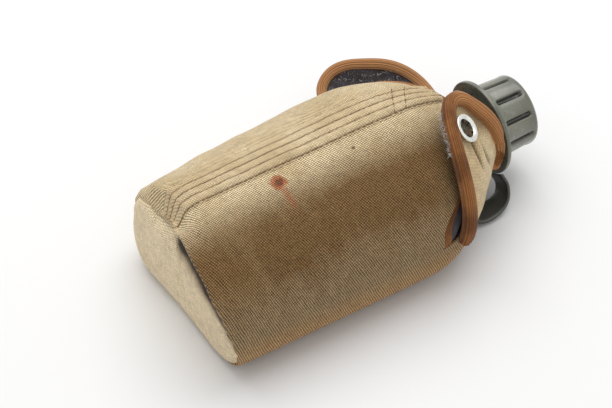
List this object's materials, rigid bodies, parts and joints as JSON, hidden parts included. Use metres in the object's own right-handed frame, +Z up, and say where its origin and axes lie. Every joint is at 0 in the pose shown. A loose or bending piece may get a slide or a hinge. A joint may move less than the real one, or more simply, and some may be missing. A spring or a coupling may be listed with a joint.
{
  "type": "military canteen",
  "caption": "Plastic field canteen in a felt-lined canvas carrier with bound mouth, snap flaps, stitched front strip, ribbed screw cap on a retaining strap and a wire belt hook.",
  "frame": {"origin": "centre of the whole part's footprint, on the surface that it lies on", "axes": "+X from the carrier's base to the cap along the neck axis, +Z up out of the carrier's front, +Y to the side of the open flap"},
  "size_m": [0.2154, 0.1522, 0.0838],
  "materials": {
    "canvas": "worn khaki cotton twill",
    "base_canvas": "paler khaki cotton twill",
    "binding": "ribbed brown tape",
    "felt": "charcoal wool felt",
    "plastic": "scuffed olive grey, slight sheen",
    "gasket_rubber": "matt black",
    "plated_metal": "bright plated, worn",
    "dark_brass": "tarnished",
    "dark_wire": "blackened wire"
  },
  "bodies": {
    "carrier": {"bottle": "plastic", "bottle_neck": "plastic", "cover_front_far": "canvas", "cover_front_near": "canvas", "cover_back": "canvas", "lining_front": "felt", "lining_back": "felt", "cover_base": "base_canvas", "centre_strip": "canvas", "mouth_binding_front": "binding", "mouth_binding_back": "binding", "neck_collar": "plastic", "strap_band": "plastic", "near_stud": "plated_metal", "hanger_web": "canvas", "hook_keeper": "canvas"},
    "strap_ring": {"cap_ring": "plastic"},
    "screw_cap": {"cap": "plastic", "cap_gasket": "gasket_rubber"},
    "closed_flap": {"near_flap": "canvas", "near_flap_lining": "felt", "near_flap_binding": "binding", "near_snap_ring": "plated_metal", "near_snap_socket": "dark_brass"},
    "open_flap": {"far_flap": "canvas", "far_flap_lining": "felt", "far_flap_binding": "binding", "far_snap_ring": "plated_metal", "far_snap_socket": "dark_brass"},
    "hook": {"belt_hook": "dark_wire"}
  },
  "joints": [
    {"name": "cap_lift", "type": "slide", "parent": "carrier", "child": "strap_ring", "axis": [1, 0, 0], "range_m": [0, 0.012], "deforming": ["strap_band"]},
    {"name": "cap_turn", "type": "hinge", "parent": "strap_ring", "child": "screw_cap", "pos_m": [0.09623, -0.01363, 0.03661], "axis": [1, 0, 0], "range_deg": [0, 720]},
    {"name": "closed_flap_fold", "type": "hinge", "parent": "carrier", "child": "closed_flap", "pos_m": [0.05274, -0.05961, 0.03379], "axis": [0.7476, 0.6566, 0.1], "range_deg": [0, 110]},
    {"name": "open_flap_fold", "type": "hinge", "parent": "carrier", "child": "open_flap", "pos_m": [0.04991, 0.03272, 0.03362], "axis": [0.7884, -0.6082, 0.0924], "range_deg": [0, 100]},
    {"name": "hook_swing", "type": "hinge", "parent": "carrier", "child": "hook", "pos_m": [0.00673, -0.01363, 0.00421], "axis": [0, 1, 0], "range_deg": [0, 150]}
  ],
  "couplings": [
    {"joint": "cap_lift", "follows": "cap_turn", "m_per_rad": 0.00095493}
  ]
}
